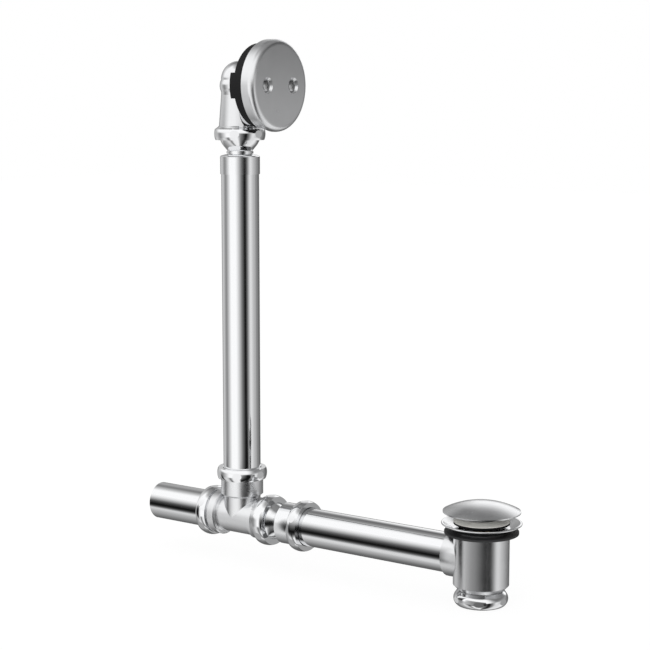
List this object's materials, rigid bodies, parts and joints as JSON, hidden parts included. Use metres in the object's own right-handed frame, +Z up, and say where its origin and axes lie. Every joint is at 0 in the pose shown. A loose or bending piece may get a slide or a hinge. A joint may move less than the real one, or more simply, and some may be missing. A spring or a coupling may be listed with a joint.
{
  "type": "bath waste and overflow",
  "caption": "Chrome bath waste and overflow: round overflow plate on a riser tube, tee with open outlet tail, swivel couplings and a waste arm to a shoe with a domed push plug.",
  "frame": {"origin": "on the waste's axis in the plane where the shoe's washer bears on the underside of the bath floor", "axes": "+Z up along the waste's axis, +X from the riser towards the waste, the way the overflow plate faces"},
  "size_m": [0.4334, 0.0904, 0.5273],
  "materials": {
    "polished_chrome": "polished",
    "satin_chrome": "satin",
    "black_rubber": "matt",
    "black_plastic": "matt",
    "pale_plastic": "matt",
    "plain_brass": "plain",
    "spring_steel": "plain"
  },
  "bodies": {
    "waste": {"waste_shoe": "satin_chrome", "shoe_washer": "black_rubber", "waste_flange": "polished_chrome", "flange_seal": "black_rubber", "cleanout_cap": "polished_chrome", "cleanout_washer": "black_rubber", "waste_arm_tube": "polished_chrome", "click_cartridge": "plain_brass", "click_spring": "spring_steel"},
    "plug": {"plug_dome": "satin_chrome", "plug_hub": "black_plastic", "plug_plate": "pale_plastic", "plug_seal": "black_rubber", "plug_carrier": "black_plastic", "plug_stem": "plain_brass"},
    "arm_coupling": {"arm_swivel_ball": "polished_chrome", "arm_slip_nut": "polished_chrome", "arm_slip_washer": "black_rubber"},
    "arm_seat": {"arm_ball_seal": "black_rubber"},
    "tee": {"tee_body": "satin_chrome", "arm_ball_nut": "polished_chrome", "tail_slip_nut": "polished_chrome", "tail_slip_washer": "black_rubber", "riser_slip_nut": "polished_chrome", "riser_slip_washer": "black_rubber"},
    "tail": {"outlet_tail_tube": "polished_chrome"},
    "riser": {"overflow_riser_tube": "polished_chrome", "overflow_swivel_ball": "polished_chrome"},
    "overflow_seat": {"overflow_ball_seal": "black_rubber"},
    "overflow_head": {"overflow_elbow": "satin_chrome", "overflow_ball_nut": "polished_chrome", "overflow_gasket": "black_rubber", "overflow_faceplate": "satin_chrome", "faceplate_screws": "polished_chrome"}
  },
  "joints": [
    {"name": "plug_press", "type": "slide", "parent": "waste", "child": "plug", "axis": [0, 0, 1], "range_m": [-0.0038, 0], "stiffness_N_per_m": 1000, "springref_m": 0.006, "deforming": ["click_spring"]},
    {"name": "arm_slip", "type": "slide", "parent": "waste", "child": "arm_coupling", "axis": [1, 0, 0], "range_m": [-0.007, 0.0025]},
    {"name": "arm_lean", "type": "hinge", "parent": "arm_coupling", "child": "arm_seat", "pos_m": [-0.252, 0, -0.0266], "axis": [0, 1, 0], "range_deg": [-12, 12]},
    {"name": "arm_roll", "type": "hinge", "parent": "arm_seat", "child": "tee", "pos_m": [-0.252, 0, -0.0266], "axis": [1, 0, 0], "continuous": true},
    {"name": "tail_slip", "type": "slide", "parent": "tee", "child": "tail", "axis": [1, 0, 0], "range_m": [-0.007, 0.0025]},
    {"name": "riser_slip", "type": "slide", "parent": "tee", "child": "riser", "axis": [0, 0, 1], "range_m": [-0.0025, 0.007]},
    {"name": "overflow_tilt", "type": "hinge", "parent": "riser", "child": "overflow_seat", "pos_m": [-0.285, 0, 0.3654], "axis": [0, 1, 0], "range_deg": [-12, 12]},
    {"name": "overflow_swivel", "type": "hinge", "parent": "overflow_seat", "child": "overflow_head", "pos_m": [-0.285, 0, 0.3654], "axis": [0, 0, 1], "continuous": true}
  ]
}
